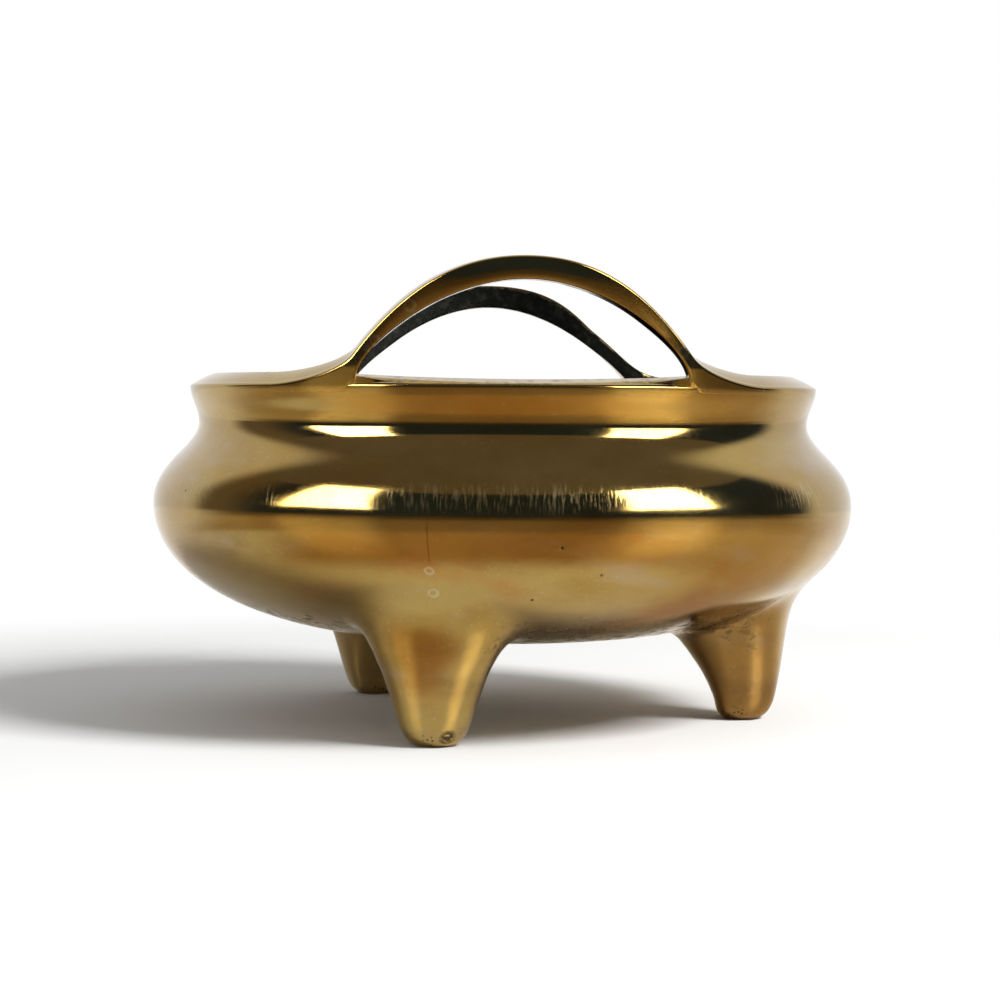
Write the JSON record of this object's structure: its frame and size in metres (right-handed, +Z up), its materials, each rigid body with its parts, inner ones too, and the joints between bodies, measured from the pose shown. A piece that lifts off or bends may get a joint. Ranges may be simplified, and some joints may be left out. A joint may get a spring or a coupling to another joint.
{
  "type": "tripod censer",
  "caption": "Round brass incense burner with a bulging bowl, thick sloping rim, arched bridge handles over the mouth's edge and short conical feet.",
  "frame": {"origin": "on the ground, below the centre of the bowl", "axes": "+Z up along the bowl's axis; the front handle stands towards -Y and the rear handle towards +Y; +X to the right when seen from the front"},
  "size_m": [0.156, 0.156, 0.1001],
  "materials": {
    "brass": "polished"
  },
  "bodies": {
    "root": {"bowl": "brass", "front_handle": "brass", "rear_handle": "brass", "front_foot": "brass", "right_foot": "brass", "rear_foot": "brass"}
  },
  "joints": []
}
